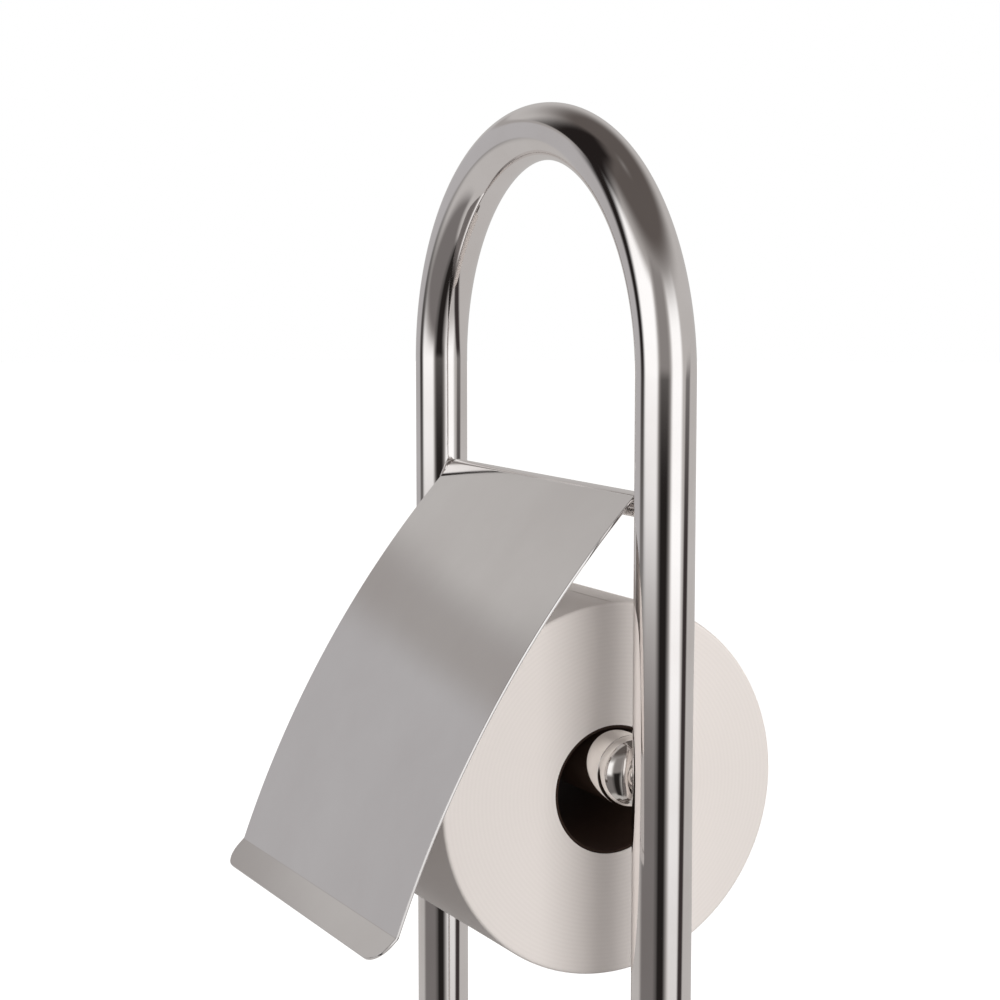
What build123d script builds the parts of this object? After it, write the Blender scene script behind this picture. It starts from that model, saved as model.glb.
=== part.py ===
from build123d import *

import math
import os

# Free-standing toilet-roll stand. One tube is bent into an inverted U and
# stands on a weighted base. A sprung roller between its legs carries the
# roll, and a sheet flap, curled round a crossbar, rests on the paper.
#
# Millimetres. The origin is on the floor under the middle of the base.
# +X runs from the left leg to the right one, the flap is on the -Y side,
# and +Z is up.

os.makedirs("parts", exist_ok=True)

# ---- Driving dimensions ----

# Frame tube
stand_height = 650.0  # floor to the crown of the arch
leg_spacing = 157.0  # between the centrelines of the two legs
tube_diameter = 19.0
tube_wall = 1.2

# Base
base_depth = 200.0  # front to back
base_end_margin = 36.5  # from a leg's centreline to the end of the base
base_corner_radius = 38.0
base_edge_radius = 4.0
cover_wall = 1.2
weight_thickness = 8.0
foot_height = 3.0  # from the floor to the underside of the weight
foot_diameter = 18.0
foot_stem_diameter = 7.0
foot_stem_length = 4.5
foot_inset = 27.0  # from the base's outline to a foot's centre

# Leg fixings
insert_length = 22.0
screw_diameter = 6.0
screw_length = 25.0
screw_head_diameter = 10.5
screw_head_height = 3.3
screw_socket_size = 4.0  # across flats
screw_socket_depth = 2.0
washer_diameter = 12.0
washer_thickness = 1.6
recess_diameter = 14.0

# Crossbar and flap
crossbar_diameter = 6.0
crossbar_drop = 40.4  # below the line where the legs start to bend
crossbar_reach = 2.2  # of each end, into the leg
flap_thickness = 1.0
flap_inner_radius = 366.6  # of its long curve
flap_length = 154.2  # along the long curve, from the curl to the lip
flap_side_gap = 4.5  # between the flap and each leg
lip_length = 10.0
lip_turn = 27.0  # degrees, outwards
lip_bend_radius = 1.5  # inside the bend
lip_corner_radius = 8.0
curl_turn = 292.0  # degrees of the curl round the crossbar

# Roller
roller_drop = 86.1  # from the crossbar's axis to the roller's axis
roller_diameter = 23.0
roller_tube_wall = 0.8
outer_tube_reach = 20.0  # of the outer tube, past the middle
inner_tube_reach = 20.0  # of the inner tube, past the middle
tube_end_gap = 11.0  # from a leg to the end of the roller's tube
cap_dome_height = 8.0
cap_rim_height = 1.2
cap_spigot_length = 10.0
nub_diameter = 8.0
pin_diameter = 6.0
pin_reach = 3.0  # of the pin, into the leg
spring_coil_diameter = 16.0  # between the wire's centrelines
spring_wire_diameter = 1.2
spring_pitch = 7.0

# Roll
roll_diameter = 122.6
roll_length = 96.0
roll_edge_radius = 0.8
core_bore_diameter = 40.4
core_wall = 1.0

# Clearances
crossbar_seat_clearance = 0.02  # radial, bar in the leg's wall
hinge_clearance = 0.05  # radial, crossbar in the curl
pin_clearance = 0.08  # radial, roller pin in the leg's hole
shoulder_gap = 0.3  # roller's nub to the leg
slide_clearance = 0.05  # radial, inner tube in the outer one
spigot_clearance = 0.02  # radial, cap in its tube
spring_seat_gap = 0.1
rest_gap = 0.3  # roll on the roller, flap on the roll
core_clearance = 0.05  # radial, core in the paper
weight_gap = 1.0  # between the weight's sides and the cover's walls
skirt_lift = 1.8  # from the floor to the rim of the cover
insert_clearance = 0.02  # radial, plug in the tube
thread_clearance = 0.02  # radial, screw in the plug
screw_hole_clearance = 0.3  # radial, screw through the base and washer
stem_clearance = 0.02  # radial, foot's stem in the weight

# ---- Places worked out from them ----

tube_radius = tube_diameter / 2
tube_bore_radius = tube_radius - tube_wall
leg_x = leg_spacing / 2
leg_face_x = leg_x - tube_radius  # the side of a leg that faces the roll
springline_z = stand_height - tube_radius - leg_x

weight_top_z = foot_height + weight_thickness
base_top_z = weight_top_z + cover_wall
base_width = leg_spacing + 2 * base_end_margin
weight_width = base_width - 2 * (cover_wall + weight_gap)
weight_depth = base_depth - 2 * (cover_wall + weight_gap)
weight_corner_radius = base_corner_radius - cover_wall - weight_gap
screw_hole_radius = screw_diameter / 2 + screw_hole_clearance
leg_points = [(-leg_x, 0), (leg_x, 0)]
foot_x = base_width / 2 - foot_inset
foot_y = base_depth / 2 - foot_inset
foot_points = {
    "foot_front_left": (-foot_x, -foot_y),
    "foot_front_right": (foot_x, -foot_y),
    "foot_rear_left": (-foot_x, foot_y),
    "foot_rear_right": (foot_x, foot_y),
}
recess_depth = washer_thickness + screw_head_height + 0.5
washer_top_z = foot_height + recess_depth
head_top_z = washer_top_z - washer_thickness

crossbar_z = springline_z - crossbar_drop
roller_z = crossbar_z - roller_drop
roller_radius = roller_diameter / 2
core_bore_radius = core_bore_diameter / 2
core_radius = core_bore_radius + core_wall
roll_radius = roll_diameter / 2
roll_z = roller_z - (core_bore_radius - roller_radius - rest_gap)

# The flap's long curve touches two circles from outside: the curl's bore, and
# a circle just clear of the roll. Its centre is where the two distances meet.
flap_width = leg_spacing - tube_diameter - 2 * flap_side_gap
curl_inner_radius = crossbar_diameter / 2 + hinge_clearance
to_curl = flap_inner_radius - curl_inner_radius
to_roll = flap_inner_radius - roll_radius - rest_gap
curl_over_roll = crossbar_z - roll_z
flap_centre_rise = (to_roll**2 - to_curl**2 + curl_over_roll**2) / (2 * curl_over_roll)
flap_centre_y = math.sqrt(to_roll**2 - flap_centre_rise**2)
flap_centre_z = roll_z + flap_centre_rise
curl_start = math.degrees(math.atan2(crossbar_z - flap_centre_z, -flap_centre_y))
flap_sheet_radius = flap_inner_radius + flap_thickness / 2
flap_sweep = math.degrees(flap_length / flap_sheet_radius)

curl_sheet_radius = curl_inner_radius + flap_thickness / 2

# The lip's bend starts where the long curve ends, and turns the other way
lip_sheet_radius = lip_bend_radius + flap_thickness / 2
lip_bend_start = curl_start + flap_sweep + 180
to_lip_bend = Vector(flap_sheet_radius + lip_sheet_radius, 0).rotate(Axis.Z, lip_bend_start - 180)
lip_bend_centre = (flap_centre_y + to_lip_bend.X, flap_centre_z + to_lip_bend.Y)

# Roller
roller_inner_radius = roller_radius - roller_tube_wall - slide_clearance
nub_radius = nub_diameter / 2
tube_end_x = leg_face_x - tube_end_gap
dome_start_x = tube_end_x + cap_rim_height
shoulder_x = leg_face_x - shoulder_gap
pin_tip_x = leg_face_x + pin_reach
spring_seat_x = tube_end_x - cap_spigot_length
spring_end_x = spring_seat_x - spring_seat_gap - spring_wire_diameter / 2


# ---- Frame ----

with BuildPart() as frame_tube:
    with BuildLine(Plane.XZ) as bend:
        Line((-leg_x, base_top_z), (-leg_x, springline_z))
        CenterArc((0, springline_z), leg_x, 180, -180)
        Line((leg_x, springline_z), (leg_x, base_top_z))
    with BuildSketch(Plane.XY.offset(base_top_z)):
        with Locations((-leg_x, 0)):
            Circle(tube_radius)
            Circle(tube_bore_radius, mode=Mode.SUBTRACT)
    sweep(path=bend.wires()[0])
    # Holes through the inner walls, for the crossbar and the roller's pins
    with BuildSketch(Plane.YZ):
        with Locations((0, crossbar_z)):
            Circle(crossbar_diameter / 2 + crossbar_seat_clearance)
        with Locations((0, roller_z)):
            Circle(pin_diameter / 2 + pin_clearance)
    extrude(amount=leg_x, both=True, mode=Mode.SUBTRACT)

frame_tube.part.label = "frame_tube"
export_step(frame_tube.part, "parts/frame_tube.step")


with BuildPart() as crossbar:
    with BuildSketch(Plane.YZ):
        with Locations((0, crossbar_z)):
            Circle(crossbar_diameter / 2)
    extrude(amount=leg_face_x + crossbar_reach, both=True)

crossbar.part.label = "crossbar"
export_step(crossbar.part, "parts/crossbar.step")


# ---- Base ----

with BuildPart() as base_cover:
    with BuildSketch(Plane.XY.offset(skirt_lift)):
        RectangleRounded(base_width, base_depth, base_corner_radius)
    extrude(amount=base_top_z - skirt_lift)
    fillet(base_cover.faces().sort_by(Axis.Z)[-1].edges(), base_edge_radius)
    offset(amount=-cover_wall, openings=base_cover.faces().sort_by(Axis.Z)[0])
    with Locations(Plane.XY.offset(base_top_z)):
        with Locations(*leg_points):
            Hole(screw_hole_radius)

base_cover.part.label = "base_cover"
export_step(base_cover.part, "parts/base_cover.step")


with BuildPart() as base_weight:
    with BuildSketch(Plane.XY.offset(foot_height)):
        RectangleRounded(weight_width, weight_depth, weight_corner_radius)
    extrude(amount=weight_thickness)
    chamfer(base_weight.faces().sort_by(Axis.Z)[-1].edges(), base_edge_radius - cover_wall)
    # Recesses for the screw heads, holes for the screws and for the feet's stems
    with BuildSketch(Plane.XY.offset(foot_height)):
        with Locations(*leg_points):
            Circle(recess_diameter / 2)
    extrude(amount=recess_depth, mode=Mode.SUBTRACT)
    with BuildSketch(Plane.XY.offset(foot_height)):
        with Locations(*leg_points):
            Circle(screw_hole_radius)
    extrude(amount=weight_thickness, mode=Mode.SUBTRACT)
    with BuildSketch(Plane.XY.offset(foot_height)):
        with Locations(*foot_points.values()):
            Circle(foot_stem_diameter / 2 + stem_clearance)
    extrude(amount=foot_stem_length, mode=Mode.SUBTRACT)

base_weight.part.label = "base_weight"
export_step(base_weight.part, "parts/base_weight.step")


for foot_name, foot_point in foot_points.items():
    with BuildPart() as foot:
        with BuildSketch(Plane.XY):
            with Locations(foot_point):
                Circle(foot_diameter / 2)
        extrude(amount=foot_height)
        fillet(foot.faces().sort_by(Axis.Z)[0].edges(), foot_height / 4)
        with BuildSketch(Plane.XY.offset(foot_height)):
            with Locations(foot_point):
                Circle(foot_stem_diameter / 2)
        extrude(amount=foot_stem_length)
    foot.part.label = foot_name
    export_step(foot.part, f"parts/{foot_name}.step")


# ---- Leg fixings ----

for side, x in {"left": -leg_x, "right": leg_x}.items():
    with BuildPart() as leg_insert:
        with BuildSketch(Plane.XY.offset(base_top_z)):
            with Locations((x, 0)):
                Circle(tube_bore_radius - insert_clearance)
                Circle(screw_diameter / 2 + thread_clearance, mode=Mode.SUBTRACT)
        extrude(amount=insert_length)
    leg_insert.part.label = f"leg_insert_{side}"
    export_step(leg_insert.part, f"parts/leg_insert_{side}.step")

    with BuildPart() as leg_washer:
        with BuildSketch(Plane.XY.offset(head_top_z)):
            with Locations((x, 0)):
                Circle(washer_diameter / 2)
                Circle(screw_hole_radius, mode=Mode.SUBTRACT)
        extrude(amount=washer_thickness)
    leg_washer.part.label = f"leg_washer_{side}"
    export_step(leg_washer.part, f"parts/leg_washer_{side}.step")

    with BuildPart() as leg_screw:
        with BuildSketch(Plane.XY.offset(head_top_z)):
            with Locations((x, 0)):
                Circle(screw_head_diameter / 2)
        extrude(amount=-screw_head_height)
        fillet(leg_screw.faces().sort_by(Axis.Z)[0].edges(), screw_head_height / 2)
        with BuildSketch(Plane.XY.offset(head_top_z - screw_head_height)):
            with Locations((x, 0)):
                RegularPolygon(screw_socket_size / 2, 6, major_radius=False)
        extrude(amount=screw_socket_depth, mode=Mode.SUBTRACT)
        with BuildSketch(Plane.XY.offset(head_top_z)):
            with Locations((x, 0)):
                Circle(screw_diameter / 2)
        extrude(amount=screw_length)
        chamfer(leg_screw.faces().sort_by(Axis.Z)[-1].edges(), screw_diameter / 8)
    leg_screw.part.label = f"leg_screw_{side}"
    export_step(leg_screw.part, f"parts/leg_screw_{side}.step")


# ---- Flap ----

# Seen from the right, the curl turns clockwise from the top of the long
# curve, over the crossbar and back beneath it, and the lip bends outwards.
with BuildPart() as flap:
    with BuildSketch(Plane.YZ):
        with BuildLine() as sheet_line:
            CenterArc((0, crossbar_z), curl_sheet_radius, curl_start - curl_turn, curl_turn)
            CenterArc((flap_centre_y, flap_centre_z), flap_sheet_radius, curl_start, flap_sweep)
            lip_bend = CenterArc(lip_bend_centre, lip_sheet_radius, lip_bend_start, -lip_turn)
            Line(lip_bend @ 1, lip_bend @ 1 + (lip_bend % 1) * lip_length)
        trace(sheet_line.line, flap_thickness)
    extrude(amount=flap_width / 2, both=True)
    sheet_corners = flap.edges().filter_by(lambda edge: abs(edge.length - flap_thickness) < 0.01)
    fillet(sheet_corners.sort_by(Axis.Z)[:2], lip_corner_radius)

flap.part.label = "flap"
export_step(flap.part, "parts/flap.step")


# ---- Roller ----

tube_spans = {
    "roller_outer_tube": (-outer_tube_reach, tube_end_x, roller_radius),
    "roller_inner_tube": (-tube_end_x, inner_tube_reach, roller_inner_radius),
}
for tube_name, (tube_left, tube_right, outside_radius) in tube_spans.items():
    with BuildPart() as roller_tube:
        with BuildSketch(Plane.YZ.offset(tube_left)):
            with Locations((0, roller_z)):
                Circle(outside_radius)
                Circle(outside_radius - roller_tube_wall, mode=Mode.SUBTRACT)
        extrude(amount=tube_right - tube_left)
    roller_tube.part.label = tube_name
    export_step(roller_tube.part, f"parts/{tube_name}.step")


# A cap's profile runs outwards from its spigot: rim, dome, nub and pin
for side, outside_radius in {"left": roller_inner_radius, "right": roller_radius}.items():
    spigot_radius = outside_radius - roller_tube_wall - spigot_clearance
    with BuildPart() as roller_cap:
        with BuildSketch(Plane.XY.offset(roller_z)):
            with BuildLine():
                spigot = Polyline(
                    (shoulder_x, pin_diameter / 2),
                    (pin_tip_x, pin_diameter / 2),
                    (pin_tip_x, 0),
                    (spring_seat_x, 0),
                    (spring_seat_x, spigot_radius),
                    (tube_end_x, spigot_radius),
                    (tube_end_x, outside_radius),
                    (dome_start_x, outside_radius),
                )
                dome = EllipticalCenterArc(
                    (dome_start_x, nub_radius),
                    x_radius=cap_dome_height - cap_rim_height,
                    y_radius=outside_radius - nub_radius,
                    start_angle=0,
                    arc_size=90,
                )
                Polyline(dome @ 0, (shoulder_x, nub_radius), spigot @ 0)
            make_face()
        revolve(axis=Axis((0, 0, roller_z), (1, 0, 0)))
        chamfer(roller_cap.edges().sort_by(Axis.X)[-1], pin_diameter / 10)
        if side == "left":
            mirror(about=Plane.YZ, mode=Mode.REPLACE)
    roller_cap.part.label = f"roller_cap_{side}"
    export_step(roller_cap.part, f"parts/roller_cap_{side}.step")


with BuildPart() as roller_spring:
    with BuildLine() as coil:
        Helix(
            pitch=spring_pitch,
            height=2 * spring_end_x,
            radius=spring_coil_diameter / 2,
            center=(-spring_end_x, 0, roller_z),
            direction=(1, 0, 0),
        )
    with BuildSketch(coil.line ^ 0):
        Circle(spring_wire_diameter / 2)
    sweep(is_frenet=True)

roller_spring.part.label = "roller_spring"
export_step(roller_spring.part, "parts/roller_spring.step")


# ---- Roll ----

with BuildPart() as cardboard_core:
    with BuildSketch(Plane.YZ):
        with Locations((0, roll_z)):
            Circle(core_radius)
            Circle(core_bore_radius, mode=Mode.SUBTRACT)
    extrude(amount=roll_length / 2, both=True)

cardboard_core.part.label = "cardboard_core"
export_step(cardboard_core.part, "parts/cardboard_core.step")


with BuildPart() as paper_roll:
    with BuildSketch(Plane.YZ):
        with Locations((0, roll_z)):
            Circle(roll_radius)
    extrude(amount=roll_length / 2, both=True)
    fillet(paper_roll.edges().filter_by(GeomType.CIRCLE), roll_edge_radius)
    with BuildSketch(Plane.YZ):
        with Locations((0, roll_z)):
            Circle(core_radius + core_clearance)
    extrude(amount=roll_length / 2, both=True, mode=Mode.SUBTRACT)

paper_roll.part.label = "paper_roll"
export_step(paper_roll.part, "parts/paper_roll.step")
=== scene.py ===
"""Looks for the free-standing toilet-roll stand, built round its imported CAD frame.

Blender units are metres. The frame's own axes are kept: the origin is on the floor under the middle of
the base, +X runs from the left leg to the right one, the flap is on the -Y side and +Z is up.
"""

import logging
import math
from collections.abc import Callable, Sequence
from dataclasses import dataclass, field
from enum import Enum

import bmesh
import bpy
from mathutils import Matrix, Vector


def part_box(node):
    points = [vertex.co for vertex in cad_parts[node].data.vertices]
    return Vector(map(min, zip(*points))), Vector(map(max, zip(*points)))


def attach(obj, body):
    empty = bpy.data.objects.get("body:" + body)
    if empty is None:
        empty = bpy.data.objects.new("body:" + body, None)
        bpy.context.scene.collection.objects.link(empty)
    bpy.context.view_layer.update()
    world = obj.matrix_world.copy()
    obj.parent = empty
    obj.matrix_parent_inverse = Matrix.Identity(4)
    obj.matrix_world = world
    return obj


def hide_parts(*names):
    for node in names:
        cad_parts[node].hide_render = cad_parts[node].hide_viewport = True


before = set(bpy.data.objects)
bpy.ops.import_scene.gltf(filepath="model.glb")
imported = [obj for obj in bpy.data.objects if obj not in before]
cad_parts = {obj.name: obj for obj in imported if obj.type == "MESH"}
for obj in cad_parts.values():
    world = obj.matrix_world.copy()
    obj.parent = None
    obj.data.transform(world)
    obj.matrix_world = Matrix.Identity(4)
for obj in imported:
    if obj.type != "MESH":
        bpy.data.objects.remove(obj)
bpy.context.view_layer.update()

logging.basicConfig(level=logging.INFO, format="%(message)s")
log = logging.getLogger("roll_stand")

MM = 0.001
NEAR = 0.01 * MM  # how far a place may lie from where it is looked for
X_AXIS = Vector((1, 0, 0))
Y_AXIS = Vector((0, 1, 0))


# ---- Measuring the frame ----


@dataclass(frozen=True)
class Span:
    """The box of one CAD node, read in the ways that the pieces need it."""

    low: Vector
    high: Vector

    @classmethod
    def of(cls, node: str) -> "Span":
        """Reads the box of a CAD node at rest."""
        low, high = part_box(node)
        return cls(low, high)

    @property
    def centre(self) -> Vector:
        """The middle of the box."""
        return (self.low + self.high) / 2

    @property
    def size(self) -> Vector:
        """The lengths of the box's sides."""
        return self.high - self.low


def inner_leg_face() -> float:
    """Gives the X of the right leg's inner side: one tube diameter in from the frame's outside."""
    tube = Span.of("frame_tube")
    return tube.high.x - tube.size.y


# ---- Shaping pieces ----


class Kind(Enum):
    """What a selection picks in edit mode."""

    VERTICES = "VERT"
    EDGES = "EDGE"
    FACES = "FACE"


class Bench:
    """One piece while it is shaped in edit mode, starting from a primitive."""

    def __init__(
        self, name: str, primitive: Callable, stretch: Sequence[float] = (1, 1, 1), **sizes
    ) -> None:
        """Adds the primitive with nothing else selected and opens it in edit mode, all selected.

        Args:
            name: The piece's name.
            primitive: The bpy.ops.mesh operator that adds it.
            stretch: The primitive's size along each of its own axes, where it isn't square.
            **sizes: The operator's own settings, in metres.
        """
        clear_selection()
        primitive(**sizes)
        self.piece = bpy.context.object
        self.piece.scale = stretch
        self.piece.name = name
        self.piece.data.name = name
        bpy.ops.object.transform_apply(location=True, rotation=True, scale=True)
        bpy.ops.object.mode_set(mode="EDIT")
        bpy.ops.mesh.select_all(action="SELECT")

    def select(self, kind: Kind, wanted: Callable[[Vector], bool]) -> None:
        """Selects by place.

        Args:
            kind: Vertices, edges or faces.
            wanted: Says for the middle of each one whether it is selected.
        """
        bpy.ops.mesh.select_mode(type=kind.value)
        bpy.ops.mesh.select_all(action="DESELECT")
        mesh = bmesh.from_edit_mesh(self.piece.data)
        if kind is Kind.VERTICES:
            for vertex in mesh.verts:
                vertex.select_set(wanted(vertex.co))
        elif kind is Kind.EDGES:
            for edge in mesh.edges:
                edge.select_set(wanted((edge.verts[0].co + edge.verts[1].co) / 2))
        else:
            for face in mesh.faces:
                face.select_set(wanted(face.calc_center_median()))
        bmesh.update_edit_mesh(self.piece.data)

    def extrude(self, move: Sequence[float]) -> None:
        """Extrudes what is selected and moves it on."""
        bpy.ops.mesh.extrude_region_move(TRANSFORM_OT_translate={"value": move})

    def scale(self, factors: Sequence[float], pivot: Sequence[float]) -> None:
        """Scales what is selected about a point."""
        bpy.ops.transform.resize(value=factors, center_override=pivot)

    def spin(self, degrees: float, centre: Sequence[float], axis: Sequence[float], steps: int) -> None:
        """Sweeps what is selected round an axis. The operator itself turns left-handed.

        Args:
            degrees: The angle, right-handed about the axis.
            centre: A point on the axis.
            axis: The axis's direction.
            steps: How many steps the sweep takes.
        """
        bpy.ops.mesh.spin(steps=steps, angle=-math.radians(degrees), center=centre, axis=axis)

    def close_end(self) -> None:
        """Fills the selected ring with one face."""
        bpy.ops.mesh.edge_face_add()

    def solid(self, merge: float = 0.002 * MM) -> None:
        """Merges doubles, then turns every face outwards."""
        bpy.ops.mesh.select_mode(type="VERT")
        bpy.ops.mesh.select_all(action="SELECT")
        bpy.ops.mesh.remove_doubles(threshold=merge)
        bpy.ops.mesh.normals_make_consistent(inside=False)

    def done(self) -> bpy.types.Object:
        """Leaves edit mode and gives the piece."""
        bpy.ops.object.mode_set(mode="OBJECT")
        return self.piece


def clear_selection() -> None:
    """Leaves edit mode and deselects every object."""
    if bpy.context.object and bpy.context.object.mode != "OBJECT":
        bpy.ops.object.mode_set(mode="OBJECT")
    bpy.ops.object.select_all(action="DESELECT")


def take(piece: bpy.types.Object) -> None:
    """Makes a piece the only selected object, and the active one."""
    clear_selection()
    piece.select_set(True)
    bpy.context.view_layer.objects.active = piece


def modify(piece: bpy.types.Object, kind: str, **settings) -> None:
    """Adds a modifier to a piece and applies it.

    Args:
        piece: The mesh object.
        kind: The modifier's type, such as SOLIDIFY.
        **settings: The modifier's own settings.
    """
    take(piece)
    modifier = piece.modifiers.new(kind.lower(), kind)
    for name, value in settings.items():
        setattr(modifier, name, value)
    bpy.ops.object.modifier_apply(modifier=modifier.name)


def smooth(piece: bpy.types.Object, degrees: float = 35.0) -> None:
    """Shades a piece smooth, with edges sharper than an angle kept crisp."""
    take(piece)
    bpy.ops.object.shade_smooth_by_angle(angle=math.radians(degrees))


def lathe(
    name: str,
    profile: Sequence[tuple[float, float]],
    axis_at: Vector,
    segments: int = 96,
    hollow: bool = False,
) -> bpy.types.Object:
    """Turns a profile about a line along X, ring by ring.

    Args:
        name: The piece's name.
        profile: Points (x, radius), in metres.
        axis_at: A point on the line; its Y and Z are used.
        segments: Sides of each ring.
        hollow: True when the profile goes round a wall and ends where it started.

    Returns:
        The finished mesh object, with its faces outwards.
    """
    along, radius = profile[0]
    pivot = Vector((along, axis_at.y, axis_at.z))
    bench = Bench(
        name,
        bpy.ops.mesh.primitive_circle_add,
        vertices=segments,
        radius=radius,
        location=pivot,
        rotation=(0, math.pi / 2, 0),
    )
    if not hollow:
        bench.close_end()
    path = [*profile[1:], profile[0]] if hollow else profile[1:]
    for next_along, next_radius in path:
        bench.extrude((next_along - along, 0, 0))
        pivot.x = next_along
        growth = next_radius / radius
        bench.scale((1, growth, growth), pivot)
        along, radius = next_along, next_radius
    bench.solid()
    return bench.done()


def arc_points(
    centre: tuple[float, float], radii: tuple[float, float], start: float, turn: float, steps: int
) -> list[tuple[float, float]]:
    """Points along an arc of an ellipse in a lathe's profile.

    Args:
        centre: The arc's centre (x, radius).
        radii: The half axes along x and across it.
        start: The first point's angle in degrees, from +x.
        turn: Degrees swept, positive towards larger radii.
        steps: Number of steps.

    Returns:
        The points, both ends among them.
    """
    angles = [math.radians(start + turn * i / steps) for i in range(steps + 1)]
    return [(centre[0] + radii[0] * math.cos(a), centre[1] + radii[1] * math.sin(a)) for a in angles]


def drill(piece: bpy.types.Object, at: Vector, radius: float, depth: float, along: Vector) -> None:
    """Cuts a round hole through a piece.

    Args:
        piece: The mesh object to cut.
        at: The middle of the cutter.
        radius: The hole's radius.
        depth: The cutter's length.
        along: The hole's axis.
    """
    turn = along.to_track_quat("Z", "Y").to_euler()
    bench = Bench(
        "cutter",
        bpy.ops.mesh.primitive_cylinder_add,
        vertices=48,
        radius=radius,
        depth=depth,
        location=at,
        rotation=turn,
    )
    cutter = bench.done()
    modify(piece, "BOOLEAN", operation="DIFFERENCE", solver="EXACT", object=cutter)
    bpy.data.objects.remove(cutter)


# ---- Materials ----


def colour(hex_code: str) -> tuple[float, float, float, float]:
    """Turns an sRGB hex value such as #A0B0C0 into linear RGBA."""
    shades = [int(hex_code[i : i + 2], 16) / 255 for i in (1, 3, 5)]
    linear = [s / 12.92 if s <= 0.04045 else ((s + 0.055) / 1.055) ** 2.4 for s in shades]
    return (*linear, 1.0)


def feed(tree: bpy.types.NodeTree, node: bpy.types.Node, inputs: dict) -> None:
    """Gives each of a node's inputs, by name or number, a value or another node's output socket."""
    for key, value in inputs.items():
        if isinstance(value, bpy.types.NodeSocket):
            tree.links.new(value, node.inputs[key])
        else:
            node.inputs[key].default_value = value


def add(tree: bpy.types.NodeTree, kind: str, inputs: dict | None = None, **settings) -> bpy.types.Node:
    """Adds one node.

    Args:
        tree: The node tree.
        kind: The node's type without the ShaderNode prefix.
        inputs: For each input's name or number, a value or another node's output socket.
        **settings: The node's own properties.

    Returns:
        The new node.
    """
    node = tree.nodes.new("ShaderNode" + kind)
    for name, value in settings.items():
        setattr(node, name, value)
    feed(tree, node, inputs or {})
    return node


def new_material(name: str) -> tuple[bpy.types.Material, bpy.types.NodeTree, bpy.types.Node]:
    """Makes a material with a bare Principled shader.

    Args:
        name: The material's name.

    Returns:
        The material, its node tree and the shader.
    """
    material = bpy.data.materials.new(name)
    material.use_nodes = True
    tree = material.node_tree
    tree.nodes.clear()
    shader = add(tree, "BsdfPrincipled")
    add(tree, "OutputMaterial", {"Surface": shader.outputs["BSDF"]})
    return material, tree, shader


def per_mm(size: float) -> float:
    """A texture's scale on coordinates in metres, for a pattern of that many millimetres."""
    return 1 / (size * MM)


def dress(piece: bpy.types.Object, *materials: bpy.types.Material) -> None:
    """Gives a piece these materials, in order, in place of those it has."""
    piece.data.materials.clear()
    for material in materials:
        piece.data.materials.append(material)


@dataclass(frozen=True)
class PolishedMetal:
    """Metal polished on felt wheels or plated: a mirror with a little haze.

    Attributes:
        name: The finish's name.
        shade: Its colour where it reflects white.
        haze_shade: Its colour in the duller patches.
        gloss: Roughness where it is brightest.
        haze: Roughness in the duller patches.
        patch: Size of the patches, in mm.
        line: Pitch of the wheel's fine lines, in mm.
        line_depth: Height of those lines, in mm.
        stretch: How the lines are drawn out, one number per axis.
        patch_low: Noise level where the duller patches start.
        patch_high: Noise level where they are dullest.
    """

    name: str
    shade: str
    haze_shade: str
    gloss: float
    haze: float
    patch: float
    line: float
    line_depth: float
    stretch: tuple[float, float, float] = (1.0, 1.0, 1.0)
    patch_low: float = 0.35
    patch_high: float = 0.7

    def make(self) -> bpy.types.Material:
        """Builds the material."""
        material, tree, shader = new_material(self.name)
        place = add(tree, "TexCoord").outputs["Object"]
        patches = add(
            tree, "TexNoise", {"Vector": place, "Scale": per_mm(self.patch), "Detail": 4.0, "Roughness": 0.6}
        ).outputs["Fac"]
        rubbed = add(
            tree, "MapRange", {"Value": patches, "From Min": self.patch_low, "From Max": self.patch_high}
        ).outputs["Result"]
        tint = add(
            tree,
            "Mix",
            {"Factor": rubbed, "A": colour(self.shade), "B": colour(self.haze_shade)},
            data_type="RGBA",
        )
        rough = add(
            tree, "MapRange", {"Value": rubbed, "To Min": self.gloss, "To Max": self.haze}
        ).outputs["Result"]
        drawn = add(tree, "Mapping", {"Vector": place, "Scale": self.stretch}).outputs["Vector"]
        lines = add(
            tree, "TexNoise", {"Vector": drawn, "Scale": per_mm(self.line), "Detail": 3.0, "Roughness": 0.5}
        ).outputs["Fac"]
        relief = add(
            tree, "Bump", {"Height": lines, "Strength": 1.0, "Distance": self.line_depth * MM}
        ).outputs["Normal"]
        finish = {"Base Color": tint.outputs["Result"], "Roughness": rough, "Normal": relief}
        feed(tree, shader, finish | {"Metallic": 1.0})
        return material


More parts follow.
